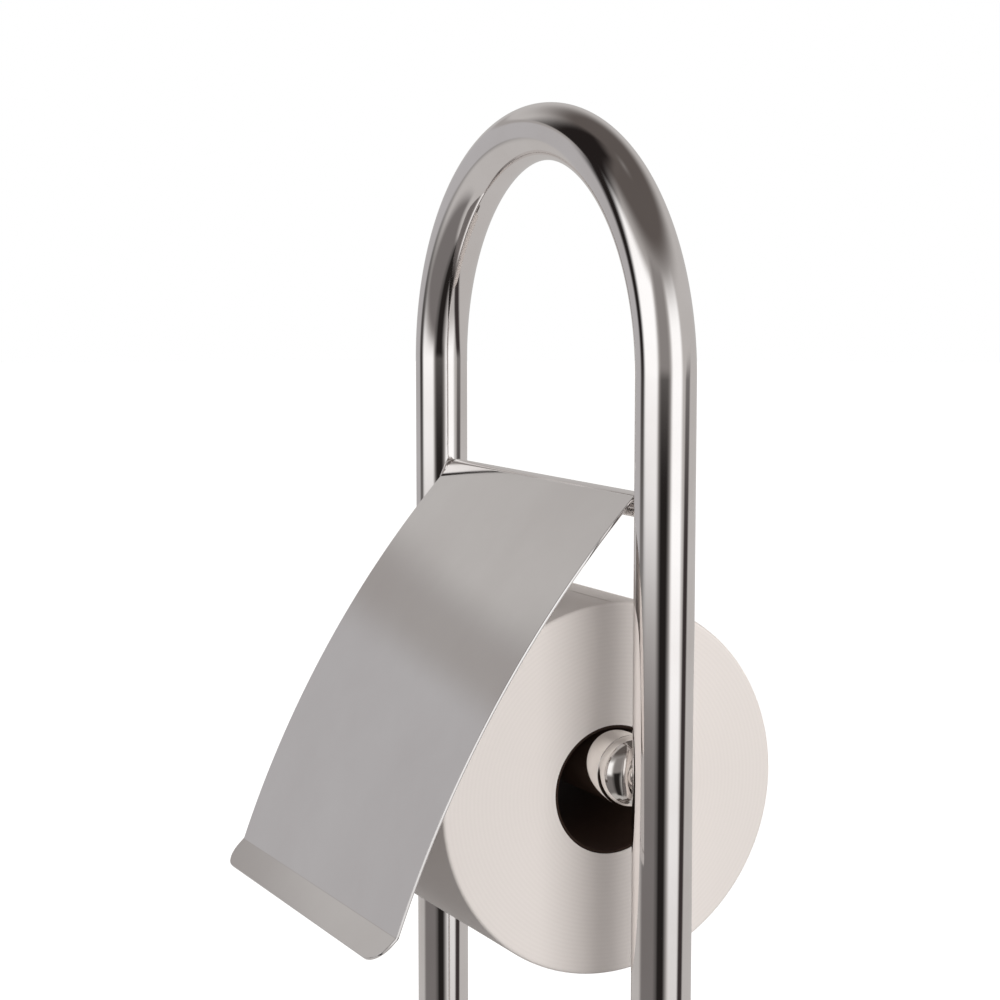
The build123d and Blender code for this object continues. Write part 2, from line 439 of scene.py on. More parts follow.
@dataclass(frozen=True)
class WorkshopMetal:
    """Turned, stamped or drawn steel that nobody polished: dull, with a grain from the tool.

    Attributes:
        name: The finish's name.
        shade: Its colour.
        stain: Its colour in the darker grain.
        metallic: 1 for bare or plated metal, less under paint.
        roughness: Its middle roughness.
        grain: Size of the grain, in mm.
        grain_depth: Height of the grain, in mm.
    """

    name: str
    shade: str
    stain: str
    metallic: float
    roughness: float
    grain: float
    grain_depth: float

    def make(self) -> bpy.types.Material:
        """Builds the material."""
        material, tree, shader = new_material(self.name)
        place = add(tree, "TexCoord").outputs["Object"]
        grain = add(
            tree, "TexNoise", {"Vector": place, "Scale": per_mm(self.grain), "Detail": 6.0, "Roughness": 0.65}
        ).outputs["Fac"]
        tint = add(
            tree,
            "Mix",
            {"Factor": grain, "A": colour(self.shade), "B": colour(self.stain)},
            data_type="RGBA",
        )
        rough = add(
            tree,
            "MapRange",
            {"Value": grain, "To Min": self.roughness - 0.1, "To Max": self.roughness + 0.1},
        ).outputs["Result"]
        relief = add(
            tree, "Bump", {"Height": grain, "Strength": 1.0, "Distance": self.grain_depth * MM}
        ).outputs["Normal"]
        finish = {"Base Color": tint.outputs["Result"], "Roughness": rough, "Normal": relief}
        feed(tree, shader, finish | {"Metallic": self.metallic})
        return material


# A wave texture repeats every 2 pi / 20 of a unit at scale 1
WAVE_SCALE = 2 * math.pi / 20


@dataclass(frozen=True)
class Tissue:
    """Soft creped tissue, wound on a roll: a warm white that scatters light.

    Attributes:
        name: The finish's name.
        shade: Its colour.
        painted_hollow_shade: A darker colour painted into the hollows of its texture, as painted shade.
        crepe: Size of the crepe's crinkles, in mm.
        crepe_depth: Their height, in mm.
        ring: Pitch of the rings on a cut side, in mm, or 0 for the wound face.
        ring_depth: Height of the rings, in mm.
        axis_at: A point on the roll's axis.
    """

    name: str
    shade: str
    painted_hollow_shade: str
    crepe: float
    crepe_depth: float
    ring: float
    ring_depth: float
    axis_at: tuple[float, float, float]

    def make(self) -> bpy.types.Material:
        """Builds the material."""
        material, tree, shader = new_material(self.name)
        place = add(tree, "TexCoord").outputs["Object"]
        middle = tuple(-c for c in self.axis_at)
        centred = add(tree, "Mapping", {"Vector": place, "Location": middle}).outputs["Vector"]
        crinkle = add(
            tree,
            "TexNoise",
            {"Vector": centred, "Scale": per_mm(self.crepe), "Detail": 5.0, "Roughness": 0.7},
        ).outputs["Fac"]
        height, depth = crinkle, self.crepe_depth
        if self.ring:
            # Layers are 0.1 mm apart, too fine to show, so the rings stand for a dozen of them
            rings = add(
                tree,
                "TexWave",
                {
                    "Vector": centred,
                    "Scale": per_mm(self.ring) * WAVE_SCALE,
                    "Distortion": 0.8,
                    "Detail": 3.0,
                    "Detail Scale": 2.0,
                },
                wave_type="RINGS",
                rings_direction="X",
            ).outputs["Fac"]
            height = add(
                tree, "Mix", {"Factor": 0.5, "A": rings, "B": crinkle}, data_type="FLOAT"
            ).outputs["Result"]
            depth = self.ring_depth
        # The hollows of the crepe, and of the rings on a cut side, are painted darker: painted shade, not a
        # colour of the paper.
        tint = add(
            tree,
            "Mix",
            {"Factor": height, "A": colour(self.painted_hollow_shade), "B": colour(self.shade)},
            data_type="RGBA",
        )
        bump = add(tree, "Bump", {"Height": height, "Strength": 1.0, "Distance": depth * MM})
        finish = {"Base Color": tint.outputs["Result"], "Normal": bump.outputs["Normal"], "Roughness": 0.95}
        soft = {"Specular IOR Level": 0.15, "Sheen Weight": 0.15, "Sheen Roughness": 0.5}
        feed(tree, shader, finish | soft)
        return material


@dataclass(frozen=True)
class Matte:
    """A dull moulded or pressed material with a fine mottle, such as rubber or board.

    Attributes:
        name: The finish's name.
        shade: Its colour.
        fleck: The colour of its flecks.
        roughness: Its roughness.
        mottle: Size of the flecks, in mm.
        relief: Height of the mottle, in mm.
    """

    name: str
    shade: str
    fleck: str
    roughness: float
    mottle: float
    relief: float

    def make(self) -> bpy.types.Material:
        """Builds the material."""
        material, tree, shader = new_material(self.name)
        place = add(tree, "TexCoord").outputs["Object"]
        mottle = add(
            tree, "TexNoise", {"Vector": place, "Scale": per_mm(self.mottle), "Detail": 6.0, "Roughness": 0.7}
        ).outputs["Fac"]
        tint = add(
            tree,
            "Mix",
            {"Factor": mottle, "A": colour(self.shade), "B": colour(self.fleck)},
            data_type="RGBA",
        )
        bump = add(tree, "Bump", {"Height": mottle, "Strength": 1.0, "Distance": self.relief * MM})
        finish = {"Base Color": tint.outputs["Result"], "Normal": bump.outputs["Normal"]}
        feed(tree, shader, finish | {"Roughness": self.roughness, "Specular IOR Level": 0.35})
        return material


# ---- The stand's pieces ----


@dataclass
class FrameTube:
    """The bent tube: two legs and the arch over them."""

    wall: float = 1.2 * MM
    sides: int = 160
    arch_steps: int = 170
    pin_hole_radius: float = 3.08 * MM
    bar_hole_radius: float = 3.02 * MM
    box: Span = field(default_factory=lambda: Span.of("frame_tube"))
    bar: Span = field(default_factory=lambda: Span.of("crossbar"))
    roller: Span = field(default_factory=lambda: Span.of("roller_outer_tube"))
    finish: PolishedMetal = PolishedMetal(
        # Drawn stainless tube, polished on wheels after bending: a clear mirror, slightly warm
        name="polished_stainless_tube",
        shade="#F6F3F2",
        haze_shade="#EFEBE9",
        gloss=0.045,
        haze=0.075,
        patch=38.0,
        line=9.0,
        line_depth=0.003,
        stretch=(1.0, 1.0, 0.12),
    )

    def build(self) -> bpy.types.Object:
        """Models and dresses the tube.

        Returns:
            The finished piece.
        """
        radius = self.box.size.y / 2
        leg_x = self.box.high.x - radius
        bottom, crown = self.box.low.z, self.box.high.z
        spring_line = crown - radius - leg_x
        bench = Bench(
            "bent_tube",
            bpy.ops.mesh.primitive_circle_add,
            vertices=self.sides,
            radius=radius,
            location=(-leg_x, 0, bottom),
        )
        bench.extrude((0, 0, spring_line - bottom))
        bench.spin(180, (0, 0, spring_line), Y_AXIS, self.arch_steps)
        bench.extrude((0, 0, bottom - spring_line))
        bench.solid()
        tube = bench.done()
        smooth(tube)
        modify(tube, "SOLIDIFY", thickness=self.wall, offset=-1.0, use_even_offset=True)
        for side in (-1, 1):
            inner_face = Vector((side * (leg_x - radius + self.wall / 2), 0, 0))
            holes = ((self.roller.centre.z, self.pin_hole_radius), (self.bar.centre.z, self.bar_hole_radius))
            for height, hole_radius in holes:
                drill(tube, inner_face + Vector((0, 0, height)), hole_radius, 4 * self.wall, X_AXIS)
        smooth(tube)
        dress(tube, self.finish.make())
        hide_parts("frame_tube")
        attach(tube, "frame")
        return tube


@dataclass
class Crossbar:
    """The rod that the flap hangs on, brazed into both legs."""

    fillet: float = 0.9 * MM
    root_depth: float = 0.3 * MM  # of the braze, inside the leg's wall
    leg_face_x: float = field(default_factory=inner_leg_face)
    box: Span = field(default_factory=lambda: Span.of("crossbar"))
    finish: PolishedMetal = PolishedMetal(
        # Solid stainless rod, polished like the tube
        name="polished_stainless_rod",
        shade="#F0ECEA",
        haze_shade="#E4DFDD",
        gloss=0.06,
        haze=0.11,
        patch=12.0,
        line=2.0,
        line_depth=0.003,
        stretch=(0.1, 1.0, 1.0),
    )

    def build(self) -> bpy.types.Object:
        """Models and dresses the rod, with a small fillet of braze against each leg.

        Returns:
            The finished piece.
        """
        radius = self.box.size.z / 2
        end = self.box.high.x
        face = self.leg_face_x
        flare = arc_points((face - self.fillet, radius + self.fillet), (self.fillet, self.fillet), -90, 90, 6)
        root = [
            (face + self.root_depth / 3, radius + 0.6 * self.fillet),
            (face + self.root_depth, radius),
        ]
        right = [*flare[:-1], *root, (end, radius)]
        profile = [(-x, r) for x, r in reversed(right)] + right
        rod = lathe("hinge_bar", profile, self.box.centre, segments=48)
        smooth(rod)
        dress(rod, self.finish.make())
        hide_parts("crossbar")
        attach(rod, "frame")
        return rod


@dataclass
class Flap:
    """The sheet cover: a curl round the crossbar, a long curve over the roll and a turned-out lip."""

    thickness: float = 1.0 * MM
    inner_radius: float = 366.6 * MM
    length: float = 154.2 * MM
    lip_length: float = 10.0 * MM
    lip_turn: float = 27.0
    lip_sheet_radius: float = 2.0 * MM
    lip_corner: float = 8.0 * MM
    curl_turn: float = 292.0
    hinge_gap: float = 0.05 * MM
    rest_gap: float = 0.3 * MM
    edge_round: float = 0.18 * MM
    curve_steps: int = 120
    curl_steps: int = 80
    box: Span = field(default_factory=lambda: Span.of("flap"))
    bar: Span = field(default_factory=lambda: Span.of("crossbar"))
    roll: Span = field(default_factory=lambda: Span.of("paper_roll"))
    finish: PolishedMetal = PolishedMetal(
        # Bright-annealed stainless sheet, buffed: nearly a mirror, very slightly wavy from rolling
        name="buffed_stainless_sheet",
        shade="#F4F2F1",
        haze_shade="#EEEBEA",
        gloss=0.05,
        haze=0.08,
        patch=60.0,
        line=30.0,
        line_depth=0.012,
        stretch=(1.0, 0.5, 0.5),
    )

    def curve_centre(self) -> Vector:
        """The long curve's centre: it touches the curl's bore and clears the roll by the rest gap."""
        bore = self.bar.size.z / 2 + self.hinge_gap
        to_curl = self.inner_radius - bore
        to_roll = self.inner_radius - self.roll.size.z / 2 - self.rest_gap
        apart = self.bar.centre.z - self.roll.centre.z
        rise = (to_roll**2 - to_curl**2 + apart**2) / (2 * apart)
        return Vector((0, math.sqrt(to_roll**2 - rise**2), self.roll.centre.z + rise))

    def shape(self) -> bpy.types.Object:
        """Models the sheet from the lip's tip to the end of the curl.

        Returns:
            The bare piece.
        """
        width = self.box.size.x
        bar_at = Vector((0, self.bar.centre.y, self.bar.centre.z))
        centre = self.curve_centre()
        sheet_radius = self.inner_radius + self.thickness / 2
        curl_start = math.atan2(bar_at.z - centre.z, bar_at.y - centre.y)
        curve_end = curl_start + self.length / sheet_radius
        outwards = Vector((0, math.cos(curve_end), math.sin(curve_end)))
        bend_at = centre + outwards * (sheet_radius + self.lip_sheet_radius)
        lip_angle = curve_end + math.pi - math.radians(self.lip_turn)
        bend_to = bend_at + Vector((0, math.cos(lip_angle), math.sin(lip_angle))) * self.lip_sheet_radius
        lip_way = Vector((0, math.sin(lip_angle), -math.cos(lip_angle)))
        lip_middle = bend_to + lip_way * self.lip_length / 2
        bench = Bench(
            "cover_flap",
            bpy.ops.mesh.primitive_plane_add,
            size=1,
            location=lip_middle,
            rotation=(math.atan2(lip_way.z, lip_way.y), 0, 0),
            stretch=(width, self.lip_length, 1),
        )
        half_lip = self.lip_length / 2
        bench.select(Kind.VERTICES, lambda at: (at - lip_middle).dot(lip_way) > half_lip / 2)
        bpy.ops.mesh.bevel(offset=self.lip_corner, segments=10, affect="VERTICES")
        bench.select(Kind.EDGES, lambda at: (at - bend_to).length < NEAR)
        bench.spin(self.lip_turn, bend_at, X_AXIS, 8)
        bench.spin(-math.degrees(self.length / sheet_radius), centre, X_AXIS, self.curve_steps)
        bench.spin(-self.curl_turn, bar_at, X_AXIS, self.curl_steps)
        bench.solid()
        return bench.done()

    def build(self) -> bpy.types.Object:
        """Models and dresses the flap.

        Returns:
            The finished piece.
        """
        sheet = self.shape()
        modify(sheet, "SOLIDIFY", thickness=self.thickness, offset=0.0, use_even_offset=True)
        modify(
            sheet,
            "BEVEL",
            width=self.edge_round,
            segments=2,
            limit_method="ANGLE",
            angle_limit=math.radians(50),
        )
        smooth(sheet, 60)
        modify(sheet, "WEIGHTED_NORMAL", keep_sharp=True, weight=100)
        dress(sheet, self.finish.make())
        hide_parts("flap")
        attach(sheet, "flap")
        return sheet


@dataclass
class Roller:
    """The sprung roller: two tubes that telescope, each with a domed cap that ends in a nub and a pin."""

    wall: float = 0.8 * MM
    rim: float = 1.2 * MM
    rim_round: float = 0.3 * MM
    nub_radius: float = 4.0 * MM
    nub_round: float = 0.6 * MM
    pin_radius: float = 3.0 * MM
    pin_chamfer: float = 0.6 * MM
    shoulder_gap: float = 0.3 * MM
    dome_height: float = 8.0 * MM
    spigot: float = 10.0 * MM
    leg_face_x: float = field(default_factory=inner_leg_face)
    finish: PolishedMetal = PolishedMetal(
        # Bright chrome plate over thin tube: a clear mirror, faintly yellow from the light
        name="chrome_plate",
        shade="#F0EDEA",
        haze_shade="#E6E2DE",
        gloss=0.05,
        haze=0.09,
        patch=9.0,
        line=3.0,
        line_depth=0.002,
    )

    def tube(self, name: str, node: str, body: str, material: bpy.types.Material) -> bpy.types.Object:
        """Models one tube of the roller, both of its ends slightly rounded.

        Args:
            name: The new piece's name.
            node: The CAD node that it stands for.
            body: The CAD body that it rides on.
            material: Its finish.

        Returns:
            The finished piece.
        """
        box = Span.of(node)
        outer, inner = box.size.z / 2, box.size.z / 2 - self.wall
        ease = self.wall / 4
        left, right = box.low.x, box.high.x
        profile = [
            (left + ease, inner),
            (left, inner + ease),
            (left, outer - ease),
            (left + ease, outer),
            (right - ease, outer),
            (right, outer - ease),
            (right, inner + ease),
            (right - ease, inner),
        ]
        piece = lathe(name, profile, box.centre, hollow=True)
        smooth(piece, 50)
        dress(piece, material)
        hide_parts(node)
        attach(piece, body)
        return piece

    def cap(self, side: int, node: str, body: str, material: bpy.types.Material) -> bpy.types.Object:
        """Models one end cap: spigot, rim, dome, nub and pin.

        Args:
            side: -1 for the left end, 1 for the right one.
            node: The CAD node that it stands for.
            body: The CAD body that it rides on.
            material: Its finish.

        Returns:
            The finished piece.
        """
        box = Span.of(node)
        outer = box.size.z / 2
        tip, back = (box.high.x, box.low.x) if side > 0 else (-box.low.x, -box.high.x)
        tube_end = back + self.spigot
        dome_at = tube_end + self.rim
        shoulder = self.leg_face_x - self.shoulder_gap
        spigot_radius = outer - self.wall - 0.02 * MM
        dome_radii = (self.dome_height - self.rim, outer - self.nub_radius)
        dome = arc_points((dome_at, self.nub_radius), dome_radii, 90, -86, 20)
        nub_edge = arc_points(
            (shoulder - self.nub_round, self.nub_radius - self.nub_round), (self.nub_round,) * 2, 90, -90, 5
        )
        profile = [
            (back, spigot_radius - 0.4 * MM),
            (back + 0.4 * MM, spigot_radius),
            (tube_end, spigot_radius),
            (tube_end, outer - self.rim_round),
            (tube_end + self.rim_round, outer),
            *dome,
            (dome_at + self.dome_height - self.rim + 0.25 * MM, self.nub_radius),
            *nub_edge,
            (shoulder, self.pin_radius),
            (tip - self.pin_chamfer, self.pin_radius),
            (tip, self.pin_radius - self.pin_chamfer),
        ]
        profile = [(side * x, r) for x, r in profile]
        piece = lathe(node.replace("roller_cap", "domed_cap"), profile, box.centre, segments=80)
        smooth(piece, 40)
        dress(piece, material)
        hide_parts(node)
        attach(piece, body)
        return piece

    def build(self) -> list[bpy.types.Object]:
        """Models and dresses the tubes and caps.

        Returns:
            The finished pieces.
        """
        chrome = self.finish.make()
        return [
            self.tube("telescope_outer", "roller_outer_tube", "roller_outer", chrome),
            self.tube("telescope_inner", "roller_inner_tube", "roller_inner", chrome),
            self.cap(1, "roller_cap_right", "roller_outer", chrome),
            self.cap(-1, "roller_cap_left", "roller_inner", chrome),
        ]


@dataclass
class Roll:
    """The tissue and its board core."""

    edge_round: float = 1.1 * MM
    ring_relief: float = 0.012 * MM
    ring_count: int = 26
    tail_lift: float = 0.1 * MM
    tail_thickness: float = 0.08 * MM
    tail_turn: float = 70.0
    tail_start: float = 20.0
    tail_steps: int = 28
    tear_steps: int = 94  # along the torn edge, every second one drawn out
    ring_width: float = 1.4  # in mm, of the rings in the cut sides' finish
    perforation: float = 0.5 * MM
    core_round: float = 0.3 * MM
    paper: Span = field(default_factory=lambda: Span.of("paper_roll"))
    core: Span = field(default_factory=lambda: Span.of("cardboard_core"))
    core_wall: float = 1.0 * MM
    core_gap: float = 0.05 * MM
    board: Matte = Matte(
        # Spirally wound board, dull; its brown is painted far darker than kraft board, as painted shade
        # inside the core
        name="board_painted_dark_for_shade",
        shade="#3A2A22",
        fleck="#2A1D17",
        roughness=0.85,
        mottle=1.6,
        relief=0.03,
    )

    def tissue(self, name: str, ring: float) -> bpy.types.Material:
        """Makes the tissue's finish, for a cut side if it has rings."""
        return Tissue(
            name=name,
            shade="#F3EEEB",
            painted_hollow_shade="#EEE9E6",
            crepe=1.3,
            crepe_depth=0.05,
            ring=ring,
            ring_depth=0.004,
            axis_at=tuple(self.paper.centre),
        ).make()

    def wound_paper(self) -> bpy.types.Object:
        """Models the wound tissue, its cut sides in faint rings.

        Returns:
            The finished piece.
        """
        outer = self.paper.size.z / 2
        bore = self.core.size.z / 2 + self.core_gap
        end = self.paper.high.x
        spread = (outer - self.edge_round - bore) / self.ring_count
        side = [(end, bore)]
        for ring in range(1, self.ring_count):
            dip = self.ring_relief * (0.5 + 0.5 * math.sin(ring * 2.4) * math.cos(ring * 0.9))
            side.append((end - dip, bore + ring * spread))
        edge = arc_points((end - self.edge_round, outer - self.edge_round), (self.edge_round,) * 2, 0, 90, 6)
        right = [*side, *edge]
        profile = [*right, *[(-x, r) for x, r in reversed(right)]]
        piece = lathe("wound_tissue", profile, self.paper.centre, segments=160, hollow=True)
        smooth(piece, 60)
        dress(piece, self.tissue("tissue_face", 0.0), self.tissue("tissue_cut_side", self.ring_width))
        take(piece)
        bpy.ops.object.mode_set(mode="EDIT")
        mesh = bmesh.from_edit_mesh(piece.data)
        for face in mesh.faces:
            face.material_index = 1 if abs(face.calc_center_median().x) > end - self.ring_relief * 1.2 else 0
        bmesh.update_edit_mesh(piece.data)
        bpy.ops.object.mode_set(mode="OBJECT")
        return piece

    def loose_end(self) -> bpy.types.Object:
        """Models the last turn's end: one sheet lying on the roll, torn along its perforations.

        Returns:
            The finished piece.
        """
        axis_at = Vector((0, self.paper.centre.y, self.paper.centre.z))
        radius = self.paper.size.z / 2 + self.tail_lift
        start = math.radians(self.tail_start)
        out = Vector((0, math.cos(start), math.sin(start)))
        along = Vector((0, -math.sin(start), math.cos(start)))
        strip = 1.0 * MM
        width = self.paper.size.x - 2 * self.edge_round
        bench = Bench(
            "loose_end",
            bpy.ops.mesh.primitive_grid_add,
            x_subdivisions=self.tear_steps,
            y_subdivisions=1,
            size=1,
            location=axis_at + out * radius - along * strip / 2,
            rotation=(start + math.pi / 2, 0, 0),
            stretch=(width, strip, 1),
        )
        torn_at = (axis_at + out * radius - along * strip).dot(along)
        pitch = width / self.tear_steps
        bench.select(
            Kind.VERTICES,
            lambda at: abs(at.dot(along) - torn_at) < 0.1 * MM and round((at.x + 1) / pitch) % 2 == 0,
        )
        bpy.ops.transform.translate(value=along * self.perforation)
        bench.select(Kind.EDGES, lambda at: abs(at.dot(along) - torn_at - strip) < NEAR)
        bench.spin(self.tail_turn, axis_at, X_AXIS, self.tail_steps)
        bench.solid()
        sheet = bench.done()
        modify(sheet, "SOLIDIFY", thickness=self.tail_thickness, offset=0.0)
        smooth(sheet, 60)
        dress(sheet, self.tissue("tissue_end", 0.0))
        return sheet

    def core_tube(self) -> bpy.types.Object:
        """Models the board core, its rims slightly crushed.

        Returns:
            The finished piece.
        """
        outer = self.core.size.z / 2
        inner = outer - self.core_wall
        end, ease = self.core.high.x, self.core_round
        profile = [
            (-end + ease, inner),
            (-end, inner + ease),
            (-end, outer - ease),
            (-end + ease, outer),
            (end - ease, outer),
            (end, outer - ease),
            (end, inner + ease),
            (end - ease, inner),
        ]
        piece = lathe("board_core", profile, self.core.centre, segments=120, hollow=True)
        smooth(piece, 50)
        dress(piece, self.board.make())
        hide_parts("cardboard_core")
        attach(piece, "roll")
        return piece

    def build(self) -> list[bpy.types.Object]:
        """Models and dresses the roll.

        Returns:
            The finished pieces.
        """
        paper, end = self.wound_paper(), self.loose_end()
        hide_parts("paper_roll")
        for piece in (paper, end):
            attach(piece, "roll")
        return [paper, end, self.core_tube()]


@dataclass
class Base:
    """The pressed cover over the weight."""

    corner: float = 38.0 * MM
    edge: float = 4.0 * MM
    wall: float = 1.2 * MM
    screw_hole_radius: float = 3.3 * MM
    box: Span = field(default_factory=lambda: Span.of("base_cover"))
    screw: Span = field(default_factory=lambda: Span.of("leg_screw_right"))
    finish: PolishedMetal = PolishedMetal(
        # Pressed stainless sheet, mirror-polished like the tube, with a little more haze from wear
        name="polished_stainless_cover",
        shade="#EDE9E7",
        haze_shade="#E2DDDB",
        gloss=0.06,
        haze=0.12,
        patch=45.0,
        line=18.0,
        line_depth=0.006,
    )

    def build(self) -> bpy.types.Object:
        """Models and dresses the cover.

        Returns:
            The finished piece.
        """
        low, high = self.box.low, self.box.high
        rim = Vector((0, 0, low.z))
        bench = Bench(
            "pressed_cover",
            bpy.ops.mesh.primitive_plane_add,
            size=1,
            location=rim,
            stretch=(self.box.size.x, self.box.size.y, 1),
        )
        bpy.ops.mesh.bevel(offset=self.corner, segments=28, affect="VERTICES")
        bench.select(Kind.FACES, lambda at: True)
        bench.extrude((0, 0, high.z - low.z))
        bench.select(Kind.EDGES, lambda at: at.z > high.z - NEAR)
        bpy.ops.mesh.bevel(offset=self.edge, segments=10, affect="EDGES")
        bench.select(Kind.FACES, lambda at: at.z > high.z - NEAR)
        bpy.ops.mesh.inset(thickness=1.0 * MM)
        bench.solid()
        cover = bench.done()
        modify(cover, "SOLIDIFY", thickness=self.wall, offset=-1.0, use_even_offset=True)
        for side in (-1, 1):
            hole_at = Vector((side * self.screw.centre.x, 0, high.z))
            drill(cover, hole_at, self.screw_hole_radius, 4 * self.wall, Vector((0, 0, 1)))
        smooth(cover)
        modify(cover, "WEIGHTED_NORMAL", keep_sharp=True, weight=100)
        dress(cover, self.finish.make())
        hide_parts("base_cover")
        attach(cover, "frame")
        return cover


@dataclass
class HiddenParts:
    """The CAD nodes that stay as they are, under the base and inside the tubes, with their finishes."""

    painted: WorkshopMetal = WorkshopMetal(
        # Flame-cut steel plate under black paint, slightly orange-peeled
        name="black_painted_steel",
        shade="#1B1B1D",
        stain="#121213",
        metallic=0.0,
        roughness=0.5,
        grain=2.2,
        grain_depth=0.05,
    )
    zinc: WorkshopMetal = WorkshopMetal(
        # Bright zinc plate on pressed fixings, bluish and a little cloudy
        name="zinc_plate",
        shade="#C9CDD2",
        stain="#AEB2B8",
        metallic=1.0,
        roughness=0.32,
        grain=1.5,
        grain_depth=0.01,
    )
    turned: WorkshopMetal = WorkshopMetal(
        # Turned mild steel, grey, with the lathe's fine grain
        name="turned_steel",
        shade="#A6A4A2",
        stain="#8C8A88",
        metallic=1.0,
        roughness=0.38,
        grain=0.8,
        grain_depth=0.01,
    )
    wire: WorkshopMetal = WorkshopMetal(
        # Hard-drawn spring wire, dark from its heat treatment
        name="spring_wire_steel",
        shade="#8E8C8A",
        stain="#6B6866",
        metallic=1.0,
        roughness=0.3,
        grain=0.6,
        grain_depth=0.005,
    )
    rubber: Matte = Matte(
        # Moulded nitrile rubber, near black, with the mould's light bloom
        name="moulded_rubber",
        shade="#232324",
        fleck="#2E2E30",
        roughness=0.8,
        mottle=1.2,
        relief=0.02,
    )

    def dress_all(self) -> None:
        """Gives each CAD node that is still shown its finish."""
        both = ("left", "right")
        groups = {
            self.painted: ["base_weight"],
            self.zinc: [f"leg_{part}_{side}" for part in ("screw", "washer") for side in both],
            self.turned: [f"leg_insert_{side}" for side in both],
            self.wire: ["roller_spring"],
            self.rubber: [f"foot_{end}_{side}" for end in ("front", "rear") for side in both],
        }
        for finish, nodes in groups.items():
            material = finish.make()
            for node in nodes:
                dress(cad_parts[node], material)


# ---- Studio ----


@dataclass(frozen=True)
class Panel:
    """A soft patch of light or dark on the studio's dome, placed by where it stands round the camera.

    Attributes:
        name: What it is in the studio.
        shade: Its colour.
        azimuth: Its middle, in degrees from the camera towards the camera's right.
        reach: Half of its width, in degrees.
        bottom: Its lower edge's elevation, in degrees.
        top: Its upper edge's elevation, in degrees.
        side_soft: Width of the fade at its sides, in degrees.
        level_soft: Width of the fade at its lower and upper edges, in degrees.
        lean: Degrees that its middle moves sideways for each degree of elevation.
        gain: How much brighter than its colour it is.
    """

    name: str
    shade: str
    azimuth: float
    reach: float
    bottom: float
    top: float
    side_soft: float = 10.0
    level_soft: float = 10.0
    lean: float = 0.0
    gain: float = 1.0


@dataclass(frozen=True)
class SoftBox:
    """A large soft lamp turned to the roll: sizes in metres, angles in degrees."""

    name: str
    azimuth: float
    elevation: float
    distance: float
    width: float
    height: float
    watts: float


def bearing(azimuth: float, elevation: float) -> Vector:
    """Gives the direction at an azimuth, from -Y towards +X, and an elevation, both in degrees."""
    turn, rise = math.radians(azimuth), math.radians(elevation)
    return Vector((math.sin(turn) * math.cos(rise), -math.cos(turn) * math.cos(rise), math.sin(rise)))


